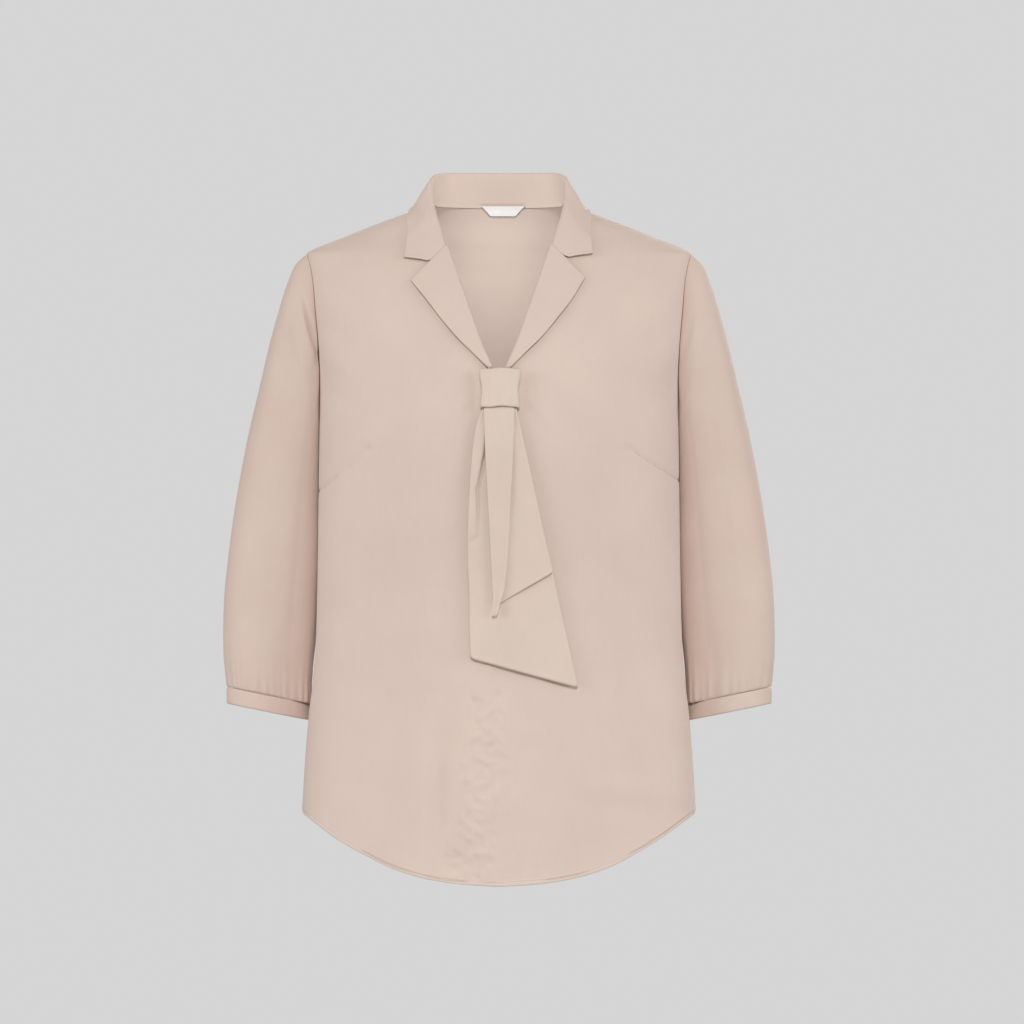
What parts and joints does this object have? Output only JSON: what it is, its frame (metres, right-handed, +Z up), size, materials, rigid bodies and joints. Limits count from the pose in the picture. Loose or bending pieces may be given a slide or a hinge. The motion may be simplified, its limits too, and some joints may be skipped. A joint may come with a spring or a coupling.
{
  "type": "blouse",
  "caption": "Woven pullover blouse with a notched collar, a V neck whose lapels run into a tie loop, hanging tie ends, gathered three-quarter sleeves and a curved hem.",
  "frame": {"origin": "midway between the neck points of the two shoulder seams, where the blouse hangs on its wearer", "axes": "+Z up, -Y out of the front of the blouse, +X towards the wearer's left, which is the picture's right"},
  "size_m": [0.5542, 0.257, 0.7106],
  "materials": {
    "body_cloth": "smooth blush-beige crepe with a faint satin sheen",
    "sleeve_cloth": "the same crepe, seen slightly pinker",
    "tie_cloth": "the same crepe, pressed flat and slightly lighter",
    "label_cloth": "plain white woven tape, blank"
  },
  "bodies": {
    "root": {"front": "body_cloth", "back": "body_cloth", "collar": "body_cloth", "lapel_left": "body_cloth", "lapel_right": "body_cloth", "sleeve_left": "sleeve_cloth", "sleeve_right": "sleeve_cloth", "cuff_left": "sleeve_cloth", "cuff_right": "sleeve_cloth", "tie_loop": "tie_cloth", "tie_end_long": "tie_cloth", "tie_end_middle": "tie_cloth", "tie_end_narrow": "tie_cloth", "neck_label": "label_cloth"}
  },
  "joints": []
}
